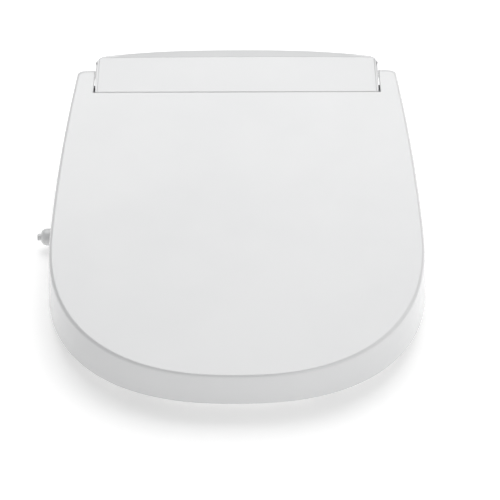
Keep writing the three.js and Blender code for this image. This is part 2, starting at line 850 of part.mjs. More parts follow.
function lidShell() {
  const rear = EAR_END.y + EAR_END.radius;
  const inner = rear - LID_WALL;
  const above = [
    ...earEnd(LID_WALL, 0, 6),
    point(-460, lidTop(-460)),
    point(-460, HINGE_Z - 60),
    point(inner, HINGE_Z - 60),
  ];
  const outer = lidForm(rear, EAR_CORNER, 0).intersect(profile(lidProfile(), -210, 210));
  const upper = lidForm(inner, EAR_CORNER - LID_WALL, LID_WALL).intersect(profile(above, -210, 210));
  const lower = lidForm(40, 1, LID_WALL).intersect(box(-210, 210, -460, 45, -5, HINGE_Z));
  const hollow = cut(join(upper, lower), behindLip(LID_WALL, LIP.low - 1));
  const shell = cut(outer, hollow, behindLip(0, LIP.low));
  const bosses = [-1, 1].map((side) => rod([side * 173.8, 0, HINGE_Z], [side * 178, 0, HINGE_Z], 8));
  const bores = [-1, 1].map((side) => rod([side * 160, 0, HINGE_Z], [side * 176.2, 0, HINGE_Z], PIN_BORE));
  return cut(join(shell, ...bosses), ...bores);
}

function lidBuffer(side) {
  const x = side * 100;
  const y = -365;
  return rod([x, y, seatTop(y) + 0.9], [x, y, lidTop(y) - LID_WALL - 0.9], 6, 16);
}

// ---- Assembly -----------------------------------------------------------------------------

function part(name, form, look) {
  const mesh = form.getMesh();
  const geometry = new THREE.BufferGeometry();
  geometry.setAttribute('position', new THREE.BufferAttribute(mesh.vertProperties, 3));
  geometry.setIndex(new THREE.BufferAttribute(mesh.triVerts, 1));
  geometry.computeVertexNormals();
  const piece = new THREE.Mesh(geometry, look);
  piece.name = name;
  return piece;
}

function nozzleUnit() {
  const unit = new THREE.Group();
  unit.position.set(0, NOZZLE_TIP.y, NOZZLE_TIP.z);
  unit.rotation.x = NOZZLE_TILT;
  unit.add(part('nozzle_bay', nozzleBay(), greyPlastic));
  [['wash', -1, 5.5], ['bidet', 1, 8]].forEach(([name, side, sprayY]) => {
    const lane = new THREE.Group();
    lane.position.x = side * NOZZLE_X;
    lane.add(part(`${name}_nozzle`, nozzle(), hosePlastic));
    lane.add(part(`${name}_nozzle_tip`, nozzleTip(sprayY), whiteShell));
    lane.add(part(`${name}_pinion`, join(pinion(), pinionShaft(side)), greyPlastic));
    lane.add(part(`${name}_motor`, nozzleMotor(side), steel));
    unit.add(lane);
  });
  return unit;
}

const bidetSeat = new THREE.Group();
bidetSeat.add(
  part('base_plate', basePlate(), greyPlastic),
  part('housing_base', housingBase(), whiteShell),
  part('housing_cover', housingCover(), whiteShell),
  part('cover_trim', coverTrim(), whiteShell),
  part('pod_cover', podCover(), whiteShell),
  part('cable_gland', cableGland(), darkPlastic),
  part('release_button', releaseButton(), greyPlastic),
  nozzleUnit(),
  part('nozzle_guard', nozzleGuard(), whiteShell),
  part('inlet_body', inletBody(), hosePlastic),
  part('strainer_cap', strainerCap(), whiteShell),
  part('solenoid_valve', solenoidValve(), darkPlastic),
  part('water_heater', waterHeater(), greyPlastic),
  part('diverter_valve', diverterValve(), darkPlastic),
  part('inlet_hose', inletHose(), hosePlastic),
  part('heater_hose', heaterHose(), hosePlastic),
  part('diverter_hose', diverterHose(), hosePlastic),
  part('blower_case', blowerCase(), greyPlastic),
  part('blower_impeller', impeller(), darkPlastic),
  part('blower_motor', blowerMotor(), steel),
  part('dryer_duct', dryerDuct(), greyPlastic),
  part('dryer_flap', dryerFlap(), whiteShell),
  part('control_board', controlBoard(), boardGreen),
  part('power_board', powerBoard(), boardGreen),
  part('seat_shell', seatTopShell(), seatPlastic),
  part('seat_underplate', seatBottomPlate(), seatPlastic),
  part('seat_heater', seatHeater(), foil),
  part('lid', lidShell(), whiteShell),
);

CASE_SCREWS.forEach((place, i) => {
  bidetSeat.add(part(`case_screw_${i + 1}`, caseScrew(place), steel));
});

[['left', -1], ['right', 1]].forEach(([name, side]) => {
  bidetSeat.add(
    part(`damper_${name}`, damper(side), darkPlastic),
    part(`hinge_pin_${name}`, hingePin(side), steel),
    part(`lid_buffer_${name}`, lidBuffer(side), paleRubber),
  );
  SEAT_BUFFERS.forEach(([x, y], i) => {
    const place = i === 0 ? 'front' : 'rear';
    bidetSeat.add(part(`seat_buffer_${place}_${name}`, seatBuffer(side * x, y), paleRubber));
  });
});

export default bidetSeat;
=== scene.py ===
import json
import math

import bmesh
import bpy
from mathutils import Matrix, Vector


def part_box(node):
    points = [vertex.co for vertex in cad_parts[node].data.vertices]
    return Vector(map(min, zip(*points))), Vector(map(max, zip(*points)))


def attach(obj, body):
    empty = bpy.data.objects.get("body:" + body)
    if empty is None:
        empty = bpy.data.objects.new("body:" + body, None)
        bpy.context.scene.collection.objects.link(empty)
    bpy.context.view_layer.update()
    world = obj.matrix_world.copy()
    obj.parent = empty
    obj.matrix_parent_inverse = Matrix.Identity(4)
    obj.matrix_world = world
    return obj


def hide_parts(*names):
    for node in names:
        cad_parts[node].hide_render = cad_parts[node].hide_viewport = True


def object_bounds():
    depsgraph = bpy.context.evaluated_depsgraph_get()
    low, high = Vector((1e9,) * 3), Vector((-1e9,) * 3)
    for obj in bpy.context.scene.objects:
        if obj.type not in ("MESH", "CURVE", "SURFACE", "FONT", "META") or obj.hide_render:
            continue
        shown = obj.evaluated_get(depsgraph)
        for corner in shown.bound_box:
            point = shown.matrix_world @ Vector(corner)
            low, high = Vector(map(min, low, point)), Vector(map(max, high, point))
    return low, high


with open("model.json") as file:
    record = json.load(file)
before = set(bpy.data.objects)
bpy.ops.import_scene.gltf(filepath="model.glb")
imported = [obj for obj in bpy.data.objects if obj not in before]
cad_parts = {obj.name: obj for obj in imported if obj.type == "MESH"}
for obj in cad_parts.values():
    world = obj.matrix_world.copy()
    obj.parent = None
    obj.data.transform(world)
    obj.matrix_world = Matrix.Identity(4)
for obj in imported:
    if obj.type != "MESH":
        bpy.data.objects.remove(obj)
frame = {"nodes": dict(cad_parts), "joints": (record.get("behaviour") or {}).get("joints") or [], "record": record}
cad_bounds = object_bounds()

# ---- Sizes, in metres, from the frame where it holds them ---------------------------------

MM = 0.001
JOINTS = {joint["name"]: joint for joint in frame["joints"]}
HINGE_Z = JOINTS["lid_hinge"]["pos_m"][2]

LID_LOW, LID_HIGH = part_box("lid")
PLAN_MIDDLE = -240 * MM
FIT = 0.05 * MM
LID = {
    "half": LID_HIGH.x - FIT,
    "front": PLAN_MIDDLE - LID_LOW.y - FIT,
    "power": 2.4,
    "centre": PLAN_MIDDLE,
}
SEAT = {"half": 180.5 * MM, "front": 180 * MM, "power": 2.4, "centre": PLAN_MIDDLE}
HOLE = {"half": 105 * MM, "front": 118 * MM, "power": 2.2, "centre": -248 * MM}
DRAW = 8.4 * MM
DRAW_SPAN = 209 * MM
LID_SLOPE = 0.115
LID_REAR_Z = 98 * MM
LID_WALL = 3 * MM
LID_REAR_Y = -28 * MM
SKIRT_Z = LID_LOW.z
STEP_Z = 30 * MM
STEP_FRONT_Y = -238 * MM
STEP_REAR_Y = -202 * MM
STEP_END_Y = -120 * MM
EAR_INNER = 159.5 * MM
EAR_CORNER = 12 * MM
SEAT_SLOPE = 0.0935
SEAT_REAR_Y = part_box("seat_underplate")[1].y + 3.6 * MM
SEAT_CORNER = 20 * MM

COVER_LOW, COVER_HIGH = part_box("housing_cover")
BLOCK_HALF = 157.5 * MM
BLOCK_FRONT = -26 * MM
BLOCK_REAR = 52 * MM
BLOCK_BOW = 12 * MM
BOW_SPAN = 149 * MM
BLOCK_CORNER = 10 * MM
BLOCK_FLAT = BLOCK_HALF - BLOCK_CORNER
STRIP_FRONT_Z = 96.4 * MM
CREST_Y = 31.5 * MM
CREST_BOW = 1.5 * MM
CREST_ROUND = 0.25 * MM
SHELF = 9 * MM
SHOULDER_Z = 46 * MM
PARTING_Z = 36 * MM
SHELL = 2.5 * MM


# ---- Mesh tools ---------------------------------------------------------------------------

def new_object(name, vertices, faces):
    mesh = bpy.data.meshes.new(name)
    mesh.from_pydata([tuple(v) for v in vertices], [], faces)
    work = bmesh.new()
    work.from_mesh(mesh)
    bmesh.ops.remove_doubles(work, verts=work.verts, dist=1e-7)
    bmesh.ops.recalc_face_normals(work, faces=work.faces)
    work.to_mesh(mesh)
    work.free()
    obj = bpy.data.objects.new(name, mesh)
    bpy.context.scene.collection.objects.link(obj)
    return obj


def loft(name, rings, ends=True, around=False):
    """Quads between rings of equal length; closed by end faces, or back onto the first ring."""
    count = len(rings[0])
    vertices = [p for ring in rings for p in ring]
    faces = []
    last = len(rings) if around else len(rings) - 1
    for r in range(last):
        a = r * count
        b = ((r + 1) % len(rings)) * count
        for i in range(count):
            j = (i + 1) % count
            faces.append((a + i, a + j, b + j, b + i))
    if ends and not around:
        faces.append(tuple(range(count)))
        faces.append(tuple(range((len(rings) - 1) * count, len(rings) * count)))
    return new_object(name, vertices, faces)


def prism(name, outline, z0, z1):
    return loft(name, [[(x, y, z) for x, y in outline] for z in (z0, z1)])


def side_prism(name, profile, x0, x1):
    return loft(name, [[(x, y, z) for y, z in profile] for x in (x0, x1)])


def box(name, x0, x1, y0, y1, z0, z1):
    return prism(name, [(x0, y0), (x1, y0), (x1, y1), (x0, y1)], z0, z1)


def turned(name, profile, origin, axis, sides=64, bore=False):
    """A lathe form from (distance along the axis, radius) pairs.

    With a bore, the profile is a closed loop clear of the axis.
    """
    way = Vector(axis).normalized()
    across = way.orthogonal().normalized()
    third = way.cross(across)
    turns = [2 * math.pi * i / sides for i in range(sides)]
    rings = []
    for along, radius in profile:
        centre = Vector(origin) + way * along
        rings.append([centre + (across * math.cos(t) + third * math.sin(t)) * radius for t in turns])
    return loft(name, rings, around=bore)


def bake(obj):
    graph = bpy.context.evaluated_depsgraph_get()
    mesh = bpy.data.meshes.new_from_object(obj.evaluated_get(graph))
    old = obj.data
    obj.modifiers.clear()
    obj.data = mesh
    bpy.data.meshes.remove(old)


def carve(target, operation, *tools):
    for tool in tools:
        modifier = target.modifiers.new("carve", "BOOLEAN")
        modifier.operation = operation
        modifier.solver = "EXACT"
        modifier.object = tool
        bake(target)
        bpy.data.objects.remove(tool)
    return target


def soften(obj, width, segments=3, angle=35):
    """Rounds the sharp edges and shades the form smooth."""
    bevel = obj.modifiers.new("rounded_edges", "BEVEL")
    bevel.width = width
    bevel.segments = segments
    bevel.limit_method = "ANGLE"
    bevel.angle_limit = math.radians(angle)
    bevel.use_clamp_overlap = True
    bevel.miter_outer = "MITER_ARC"
    obj.data.polygons.foreach_set("use_smooth", [True] * len(obj.data.polygons))
    normals = obj.modifiers.new("even_shading", "WEIGHTED_NORMAL")
    normals.keep_sharp = True
    normals.weight = 50
    return obj


def place(obj, body, slot, material, *nodes):
    obj.data.materials.clear()
    obj.data.materials.append(material)
    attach(obj, body)
    if nodes:
        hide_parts(*nodes)
    return obj


# ---- Outlines -----------------------------------------------------------------------------

def arc(x, y, radius, start, end, steps):
    points = []
    for i in range(steps + 1):
        turn = math.radians(start + (end - start) * i / steps)
        points.append((x + radius * math.cos(turn), y + radius * math.sin(turn)))
    return points


def superellipse(plan, end, steps):
    points = []
    for i in range(steps + 1):
        turn = math.radians(end) * i / steps
        c, s = math.cos(turn), math.sin(turn)
        x = math.copysign(abs(c) ** (2 / plan["power"]), c) * plan["half"]
        y = -math.copysign(abs(s) ** (2 / plan["power"]), s) * plan["front"]
        points.append((x, plan["centre"] + y))
    return points


def side_half(plan, y):
    return plan["half"] - DRAW * ((y - plan["centre"]) / DRAW_SPAN) ** 2


def d_outline(plan, rear, corner, front_steps=96, side_steps=28):
    front = superellipse(plan, 180, front_steps)
    corner_y = rear - corner
    side = []
    for i in range(1, side_steps):
        y = plan["centre"] + (corner_y - plan["centre"]) * i / side_steps
        side.append((side_half(plan, y), y))
    side += arc(side_half(plan, corner_y) - corner, corner_y, corner, 0, 90, 10)
    return front + [(-x, y) for x, y in side] + side[::-1]


def rear_edge(x):
    curve = BLOCK_REAR - BLOCK_BOW * min(abs(x) / BOW_SPAN, 1.0) ** 2.6
    past = abs(x) - BLOCK_FLAT
    if past > 0:
        curve -= BLOCK_CORNER - math.sqrt(max(BLOCK_CORNER ** 2 - past ** 2, 0))
    return curve


def smoothstep(value, low, high):
    t = min(max((value - low) / (high - low), 0.0), 1.0)
    return t * t * (3 - 2 * t)


def lid_top(y):
    return LID_REAR_Z + LID_SLOPE * (y + 30 * MM)


def seat_top(y):
    return 45 * MM + SEAT_SLOPE * (y + 422 * MM)


def seat_under(y):
    over_pod = 14 * MM * smoothstep(y, -232 * MM, -210 * MM)
    over_deck = 22 * MM * smoothstep(y, -186 * MM, -162 * MM)
    return 14 * MM + over_pod + over_deck


# ---- Materials ----------------------------------------------------------------------------

class Nodes:
    """A small writer for one material's node tree."""

    def __init__(self, name):
        self.material = bpy.data.materials.new(name)
        self.material.use_nodes = True
        self.tree = self.material.node_tree
        self.shader = self.tree.nodes["Principled BSDF"]
        self.place = self.add("ShaderNodeTexCoord").outputs["Object"]

    def add(self, kind):
        return self.tree.nodes.new(kind)

    def link(self, source, target):
        self.tree.links.new(source, target)

    def noise(self, scale, detail=4.0, stretch=None):
        node = self.add("ShaderNodeTexNoise")
        node.inputs["Scale"].default_value = scale
        node.inputs["Detail"].default_value = detail
        if stretch:
            mapping = self.add("ShaderNodeMapping")
            mapping.inputs["Scale"].default_value = stretch
            self.link(self.place, mapping.inputs["Vector"])
            self.link(mapping.outputs["Vector"], node.inputs["Vector"])
        else:
            self.link(self.place, node.inputs["Vector"])
        return node.outputs["Fac"]

    def colour(self, factor, low, high):
        ramp = self.add("ShaderNodeValToRGB")
        ramp.color_ramp.elements[0].position = 0.35
        ramp.color_ramp.elements[1].position = 0.65
        ramp.color_ramp.elements[0].color = (*low, 1)
        ramp.color_ramp.elements[1].color = (*high, 1)
        self.link(factor, ramp.inputs["Fac"])
        self.link(ramp.outputs["Color"], self.shader.inputs["Base Color"])

    def roughness(self, factor, low, high):
        spread = self.add("ShaderNodeMapRange")
        spread.inputs["From Min"].default_value = 0.3
        spread.inputs["From Max"].default_value = 0.7
        spread.inputs["To Min"].default_value = low
        spread.inputs["To Max"].default_value = high
        self.link(factor, spread.inputs["Value"])
        self.link(spread.outputs["Result"], self.shader.inputs["Roughness"])

    def bump(self, height, strength, distance):
        bump = self.add("ShaderNodeBump")
        bump.inputs["Strength"].default_value = strength
        bump.inputs["Distance"].default_value = distance
        self.link(height, bump.inputs["Height"])
        self.link(bump.outputs["Normal"], self.shader.inputs["Normal"])

    def set(self, **values):
        for name, value in values.items():
            self.shader.inputs[name.replace("_", " ")].default_value = value


def gloss_white(name, low, high, rough):
    """Glazed-looking ABS: faint tone drift, uneven gloss and the slight ripple of a moulding."""
    nodes = Nodes(name)
    nodes.colour(nodes.noise(9.0, 3.0), low, high)
    nodes.roughness(nodes.noise(60.0, 6.0), rough * 0.88, rough * 1.12)
    nodes.bump(nodes.noise(24.0, 2.0), 0.02, 0.0004)
    nodes.set(Coat_Weight=0.35, Coat_Roughness=0.06, IOR=1.5)
    return nodes.material


def textured_plastic(name, low, high, rough, grain=900.0):
    """Spark-eroded moulding texture over a matt plastic."""
    nodes = Nodes(name)
    nodes.colour(nodes.noise(30.0, 4.0), low, high)
    fine = nodes.noise(grain, 3.0)
    nodes.roughness(fine, rough * 0.85, rough * 1.1)
    nodes.bump(fine, 0.25, 0.0002)
    nodes.set(IOR=1.48)
    return nodes.material


def clear_plastic(name):
    nodes = Nodes(name)
    nodes.colour(nodes.noise(40.0), (0.70, 0.74, 0.76), (0.78, 0.81, 0.83))
    nodes.roughness(nodes.noise(120.0), 0.18, 0.3)
    nodes.bump(nodes.noise(80.0, 2.0), 0.05, 0.0003)
    nodes.set(Coat_Weight=0.3, Coat_Roughness=0.1)
    return nodes.material


def rubber(name):
    nodes = Nodes(name)
    nodes.colour(nodes.noise(160.0, 8.0), (0.40, 0.41, 0.41), (0.50, 0.51, 0.51))
    fine = nodes.noise(1400.0, 4.0)
    nodes.roughness(fine, 0.7, 0.9)
    nodes.bump(fine, 0.35, 0.0002)
    return nodes.material


def turned_steel(name):
    nodes = Nodes(name)
    grooves = nodes.noise(220.0, 2.0, (30.0, 1.0, 1.0))
    nodes.colour(grooves, (0.50, 0.51, 0.53), (0.66, 0.67, 0.69))
    nodes.roughness(grooves, 0.22, 0.38)
    nodes.bump(grooves, 0.08, 0.0001)
    nodes.set(Metallic=1.0)
    return nodes.material


def foil(name):
    nodes = Nodes(name)
    creases = nodes.noise(90.0, 6.0)
    nodes.colour(creases, (0.55, 0.38, 0.22), (0.75, 0.56, 0.36))
    nodes.roughness(creases, 0.25, 0.45)
    nodes.bump(creases, 0.5, 0.0006)
    nodes.set(Metallic=0.9)
    return nodes.material


def board(name):
    nodes = Nodes(name)
    tracks = nodes.add("ShaderNodeTexBrick")
    tracks.inputs["Scale"].default_value = 60.0
    tracks.inputs["Mortar Size"].default_value = 0.03
    tracks.inputs["Color1"].default_value = (0.03, 0.19, 0.08, 1)
    tracks.inputs["Color2"].default_value = (0.04, 0.23, 0.10, 1)
    tracks.inputs["Mortar"].default_value = (0.10, 0.36, 0.18, 1)
    nodes.link(nodes.place, tracks.inputs["Vector"])
    nodes.link(tracks.outputs["Color"], nodes.shader.inputs["Base Color"])
    nodes.roughness(nodes.noise(200.0), 0.3, 0.5)
    nodes.bump(tracks.outputs["Fac"], 0.2, 0.0002)
    return nodes.material


MATERIALS = {
    "white_shell": gloss_white("white_shell", (0.775, 0.780, 0.785), (0.800, 0.804, 0.808), 0.20),
    "seat_plastic": gloss_white("seat_plastic", (0.785, 0.785, 0.778), (0.808, 0.808, 0.800), 0.26),
    "grey_plastic": textured_plastic("grey_plastic", (0.50, 0.52, 0.53), (0.56, 0.58, 0.59), 0.5),
    "dark_plastic": textured_plastic("dark_plastic", (0.020, 0.022, 0.024), (0.032, 0.034, 0.036), 0.55),
    "clear_plastic": clear_plastic("clear_plastic"),
    "pale_rubber": rubber("pale_rubber"),
    "circuit_board": board("circuit_board"),
    "bright_steel": turned_steel("bright_steel"),
    "heater_foil": foil("heater_foil"),
}


# ---- Camera, light and floor --------------------------------------------------------------

def make_camera():
    elevation = math.radians(40)
    azimuth = math.radians(-0.3)
    distance = 1.7
    target = Vector((0.01342, -0.24359, 0.050))
    back = Vector((
        math.sin(azimuth) * math.cos(elevation),
        -math.cos(azimuth) * math.cos(elevation),
        math.sin(elevation),
    ))
    data = bpy.data.cameras.new("view")
    data.lens = 119
    data.sensor_width = 36
    data.clip_start = 0.05
    camera = bpy.data.objects.new("view", data)
    camera.location = target + back * distance
    camera.rotation_euler = (-back).to_track_quat("-Z", "Y").to_euler()
    bpy.context.scene.collection.objects.link(camera)
    bpy.context.scene.camera = camera


def area_light(name, place_at, aim, width, height, power):
    data = bpy.data.lights.new(name, "AREA")
    data.shape = "RECTANGLE"
    data.size = width
    data.size_y = height
    data.energy = power
    light = bpy.data.objects.new(name, data)
    light.location = place_at
    light.rotation_euler = (Vector(aim) - Vector(place_at)).to_track_quat("-Z", "Y").to_euler()
    bpy.context.scene.collection.objects.link(light)


def make_studio():
    middle = (0, -0.2, 0.05)
    area_light("sky_panel", (0.1, 0.85, 1.9), middle, 2.4, 1.9, 33)
    area_light("right_panel", (1.7, -0.5, 0.9), middle, 1.4, 1.0, 3.2)
    area_light("front_panel", (1.2, -2.1, 0.7), middle, 1.6, 0.9, 5.5)
    world = bpy.data.worlds.new("studio")
    world.use_nodes = True
    backdrop = world.node_tree.nodes["Background"]
    backdrop.inputs["Color"].default_value = (1.0, 1.0, 1.0, 1)
    backdrop.inputs["Strength"].default_value = 0.34
    bpy.context.scene.world = world


def make_floor():
    reach = 4.0
    corners = [(-reach, -reach, 0), (reach, -reach, 0), (reach, reach, 0), (-reach, reach, 0)]
    floor = new_object("floor", corners, [(0, 1, 2, 3)])
    floor.location.z = cad_bounds[0][2] - 0.0004
    nodes = Nodes("floor_paint")
    nodes.colour(nodes.noise(3.0), (0.90, 0.90, 0.90), (0.92, 0.92, 0.92))
    nodes.roughness(nodes.noise(20.0), 0.8, 0.9)
    nodes.set(Emission_Color=(1, 1, 1, 1), Emission_Strength=0.38)
    floor.data.materials.append(nodes.material)


# ---- Lid ----------------------------------------------------------------------------------

LOBE = 16.5 * MM
LOBE_FROM = -2.0
LOBE_TO = -0.6
EAR_END_Y = 6.2 * MM
EAR_END_Z = 90.1 * MM
EAR_REAR = EAR_END_Y + EAR_CORNER
LID_DROP = 5 * MM
LID_INSET = 4 * MM
LID_TOP_INSET = 8 * MM
TOP_REAR_Y = EAR_END_Y - EAR_CORNER * math.sin(math.atan(LID_SLOPE))
LIP = {"low": 86 * MM, "top": 95 * MM, "lean": 2.3 * MM}


def lid_outline(inset, rear, corner, inner, lip):
    """One level of the lid seen from above, from the front's middle round the left and back.

    Each point is (x, y, kind, turn); turn runs from 0 on the side to 1 on an ear's round end.
    """
    narrow = 1 - inset / LID["half"]
    shorten = 1 - inset / LID["front"] * 0.5
    right = []
    for x, y in reversed(superellipse(LID, 90, 60)):
        right.append((x * narrow, LID["centre"] + (y - LID["centre"]) * shorten, "side", 0.0))
    corner_y = rear - corner
    for i in range(1, 41):
        y = LID["centre"] + (corner_y - LID["centre"]) * i / 40
        right.append((side_half(LID, y) * narrow, y, "side", 0.0))
    corner_x = side_half(LID, corner_y) * narrow - corner
    for i, (x, y) in enumerate(arc(corner_x, corner_y, corner, 0, 90, 14)[1:]):
        right.append((x, y, "side", smoothstep((i + 1) / 14, 0, 1)))
    for i in range(1, 7):
        right.append((corner_x + (inner - corner_x) * i / 6, rear, "side", 1.0))
    for i in range(13):
        y = TOP_REAR_Y - 1 * MM + (lip - TOP_REAR_Y + 1 * MM) * i / 12
        right.append((inner, y, "ear", 0.0))
    for i in range(1, 25):
        right.append((inner * (1 - i / 24), lip, "lip", 0.0))
    return right + [(-x, y, kind, turn) for x, y, kind, turn in right[-2:0:-1]]


def under_circle(y, centre_y, centre_z, radius):
    return centre_z - math.sqrt(max(radius ** 2 - (y - centre_y) ** 2, 0.0))


def lid_low_edge(y):
    """Height of the skirt's lower edge: one step, then the hinge's lobe and the ear's round end."""
    if y < STEP_END_Y:
        return SKIRT_Z + (STEP_Z - SKIRT_Z) * smoothstep(y, STEP_FRONT_Y, STEP_REAR_Y)
    meet, leave = LOBE * math.cos(LOBE_FROM), LOBE * math.cos(LOBE_TO)
    meet_z, leave_z = HINGE_Z + LOBE * math.sin(LOBE_FROM), HINGE_Z + LOBE * math.sin(LOBE_TO)
    end = EAR_END_Y + EAR_CORNER * math.cos(LOBE_TO)
    end_z = EAR_END_Z + EAR_CORNER * math.sin(LOBE_TO)
    if y < meet:
        return STEP_Z + (meet_z - STEP_Z) * (y - STEP_END_Y) / (meet - STEP_END_Y)
    if y < leave:
        return under_circle(y, 0, HINGE_Z, LOBE)
    if y < end:
        return leave_z + (end_z - leave_z) * (y - leave) / (end - leave)
    return under_circle(y, EAR_END_Y, EAR_END_Z, EAR_CORNER)


def lid_column(base, shoulder, crown, wall):
    """One column of the skin, from the lower edge up over the rounded edge to the top."""
    x, y, kind, turn = shoulder
    top = lid_top(y)
    crown_z = lid_top(crown[1]) - wall
    if kind == "side":
        shoulder_z = (top - LID_DROP) * (1 - turn) + EAR_END_Z * turn
        low_z = lid_low_edge(y)
        share = (low_z - SKIRT_Z) / (shoulder_z - SKIRT_Z)
        low = (base[0] + (x - base[0]) * share, base[1] + (y - base[1]) * share, low_z)
        middle = tuple((a + b) / 2 for a, b in zip(low, (x, y, shoulder_z)))
    elif kind == "ear":
        shoulder_z = top - 1.2 * MM - wall * 0.7
        low = (x, y, top - 5 * MM)
        middle = (x, y, (low[2] + shoulder_z) / 2)
    else:
        shoulder_z = top - 1.2 * MM - wall * 0.7
        low = (x, y - LIP["lean"], LIP["low"])
        middle = (x, y, min(LIP["top"], shoulder_z - 0.3 * MM))
    column = [low, middle]
    for k in range(9):
        angle = math.radians(90 * k / 8)
        over = 1 - math.cos(angle)
        column.append((
            x + (crown[0] - x) * over,
            y + (crown[1] - y) * over,
            shoulder_z + (crown_z - shoulder_z) * math.sin(angle),
        ))
    return column


def lid_skin(wall):
    rear = EAR_REAR - wall
    corner = EAR_CORNER - wall
    inner = EAR_INNER + wall
    lip = LID_REAR_Y - wall
    edge = 1.2 * MM
    base = lid_outline(wall, rear, corner, inner, lip)
    shoulder = lid_outline(LID_INSET + wall, rear, corner, inner, lip)
    top_inset = LID_TOP_INSET + wall * 0.4
    crown = lid_outline(top_inset, TOP_REAR_Y, corner - 4 * MM, inner + edge, lip - edge)
    columns = [lid_column(b, s, c, wall) for b, s, c in zip(base, shoulder, crown)]
    return [[column[row] for column in columns] for row in range(len(columns[0]))]


def make_lid():
    outer = lid_skin(0.0)
    inner = lid_skin(LID_WALL)
    lid = loft("lid_shell", inner[::-1] + outer)
    soften(lid, 0.5 * MM, 2, 50)
    place(lid, "lid", "white_shell", MATERIALS["white_shell"], "lid")
    for side_name, way in (("left", -1), ("right", 1)):
        ring = [(0, 4.6 * MM), (0, 8 * MM), (4 * MM, 8 * MM), (4 * MM, 4.6 * MM)]
        start = (way * 173.8 * MM, 0, HINGE_Z)
        boss = turned(f"lid_boss_{side_name}", ring, start, (way, 0, 0), bore=True)
        soften(boss, 0.4 * MM)
        place(boss, "lid", "white_shell", MATERIALS["white_shell"])


# ---- Seat ---------------------------------------------------------------------------------

def ray_hit(outline, centre, turn):
    """Where a ray from centre meets a closed outline."""
    dx, dy = math.cos(turn), math.sin(turn)
    for (ax, ay), (bx, by) in zip(outline, outline[1:] + outline[:1]):
        ex, ey = bx - ax, by - ay
        cross = dx * ey - dy * ex
        if abs(cross) < 1e-15:
            continue
        qx, qy = ax - centre[0], ay - centre[1]
        along = (qx * ey - qy * ex) / cross
        across = (qx * dy - qy * dx) / cross
        if along > 0 and -1e-9 <= across <= 1 + 1e-9:
            return Vector((centre[0] + dx * along, centre[1] + dy * along))
    raise ValueError("the ray misses the outline")


def seat_spokes(count=220):
    outer = d_outline(SEAT, SEAT_REAR_Y, SEAT_CORNER)
    hole = superellipse(HOLE, 360, 160)[:-1]
    centre = (0.0, HOLE["centre"])
    turns = [2 * math.pi * (i + 0.5) / count for i in range(count)]
    return [(ray_hit(outer, centre, t), ray_hit(hole, centre, t)) for t in turns]


def seat_ring(spokes, from_outer, height):
    """One ring: from_outer(width) is the distance inwards from the outer edge."""
    ring = []
    for outer, hole in spokes:
        width = (hole - outer).length
        spot = outer + (hole - outer) * (from_outer(width) / width)
        ring.append((spot.x, spot.y, height(spot.y, from_outer(width) / width)))
    return ring


def make_seat():
    spokes = seat_spokes()
    dish = 3.5 * MM

    def crown(y, share):
        return seat_top(y) - dish * smoothstep(share, 0.25, 1.0)

    rings = [seat_ring(spokes, lambda w: 0.0, lambda y, s: seat_under(y))]
    rings.append(seat_ring(spokes, lambda w: 0.0, lambda y, s: seat_under(y) + 4 * MM))
    for k in range(8):
        turn = math.radians(90 * k / 7)
        inset = 10 * MM * (1 - math.cos(turn))
        drop = 11 * MM * (1 - math.sin(turn))
        rings.append(seat_ring(spokes, lambda w, i=inset: i, lambda y, s, d=drop: crown(y, s) - d))
    for share in (0.3, 0.42, 0.54, 0.66, 0.76):
        rings.append(seat_ring(spokes, lambda w, q=share: w * q, crown))
    for k in range(8):
        turn = math.radians(90 * k / 7)
        inset = 9 * MM * (1 - math.sin(turn))
        drop = 12 * MM * (1 - math.cos(turn))
        rings.append(seat_ring(spokes, lambda w, i=inset: w - i, lambda y, s, d=drop: crown(y, s) - d))
    rings.append(seat_ring(spokes, lambda w: w, lambda y, s: seat_under(y) + 4 * MM))
    rings.append(seat_ring(spokes, lambda w: w, lambda y, s: seat_under(y)))
    rim = 3 * MM
    rings.append(seat_ring(spokes, lambda w: w - rim, lambda y, s: seat_under(y)))
    rings.append(seat_ring(spokes, lambda w: w - rim, lambda y, s: seat_under(y) + rim))
    rings.append(seat_ring(spokes, lambda w: rim, lambda y, s: seat_under(y) + rim))
    rings.append(seat_ring(spokes, lambda w: rim, lambda y, s: seat_under(y)))
    seat = loft("seat_ring", rings, around=True)
    soften(seat, 0.6 * MM, 2, 50)
    place(seat, "seat", "seat_plastic", MATERIALS["seat_plastic"], "seat_shell")

    gap = rim + 0.5 * MM
    plate_rings = []
    thick = 2.2 * MM
    for at_hole, lift in ((False, 0.0), (True, 0.0), (True, thick), (False, thick)):
        plate_rings.append(seat_ring(
            spokes,
            lambda w, hole=at_hole: w - gap if hole else gap,
            lambda y, s, q=lift: seat_under(y) + q,
        ))
    plate = loft("seat_underplate_moulding", plate_rings, around=True)
    soften(plate, 0.4 * MM, 2, 50)
    place(plate, "seat", "seat_plastic", MATERIALS["seat_plastic"], "seat_underplate")


def make_seat_arms():
    """Two levers that carry the ring from the hinge pins, each with a round eye."""
    eye = arc(0, HINGE_Z, 9 * MM, -90, 78, 28)
    lever = eye + [(-20 * MM, 87.6 * MM), (-52 * MM, 78.4 * MM)]
    lever += [(-70 * MM, 75.5 * MM), (-70 * MM, 57 * MM)]
    for name, way in (("left", -1), ("right", 1)):
        arm = side_prism(f"seat_arm_{name}", lever, way * 163.5 * MM, way * 172.5 * MM)
        soften(arm, 1.2 * MM, 3, 30)
        place(arm, "seat", "seat_plastic", MATERIALS["seat_plastic"])


# ---- Housing ------------------------------------------------------------------------------

def crest_y(x):
    """Where the strip ends: nearly straight, and always a shelf's depth before the back edge."""
    bowed = CREST_Y - CREST_BOW * min(abs(x) / (150 * MM), 1.05) ** 2
    return min(bowed, rear_edge(x) - SHELF)


